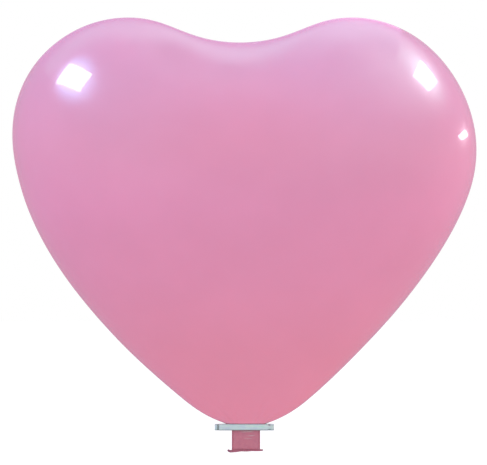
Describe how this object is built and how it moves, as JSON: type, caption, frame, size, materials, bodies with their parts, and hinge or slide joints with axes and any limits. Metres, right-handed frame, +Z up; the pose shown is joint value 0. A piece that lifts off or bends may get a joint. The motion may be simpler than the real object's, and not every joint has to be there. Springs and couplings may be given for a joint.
{
  "type": "heart-shaped giant balloon with neck clip",
  "caption": "Inflated heart-shaped latex balloon, about 78 cm wide, whose flat neck is sealed by a hinged plastic bar clip with a snap hook.",
  "frame": {"origin": "centre of the clip's grip on the neck: middle of the neck, between the arms, at the arms' mid-height", "axes": "+X along the clip from the hook to the hinge, +Y to the back of the heart, +Z up to the lobes; the front faces -Y"},
  "size_m": [0.7762, 0.45, 0.73],
  "materials": {
    "latex": "glossy stretched latex, slightly translucent",
    "latex_neck": "satin unstretched latex",
    "latex_lip": "satin rolled latex bead",
    "clip_plastic": "translucent pale aqua moulded plastic",
    "pin_plastic": "smooth moulded plastic"
  },
  "bodies": {
    "balloon": {"heart_skin": "latex", "neck_sleeve": "latex_neck", "rolled_lip": "latex_lip", "clip_rear_arm": "clip_plastic", "clip_hinge_pin": "pin_plastic"},
    "front_arm": {"clip_front_arm": "clip_plastic"},
    "latch": {"clip_latch_hook": "clip_plastic"}
  },
  "joints": [
    {"name": "front_arm_swing", "type": "hinge", "parent": "balloon", "child": "front_arm", "pos_m": [0.0428, 0, 0], "axis": [0, 0, 1], "range_deg": [0, 150]},
    {"name": "latch_flex", "type": "hinge", "parent": "balloon", "child": "latch", "pos_m": [-0.0489, 0.0039, 0], "axis": [0, 0, 1], "range_deg": [-12, 0], "stiffness_Nm_per_rad": 0.05}
  ]
}
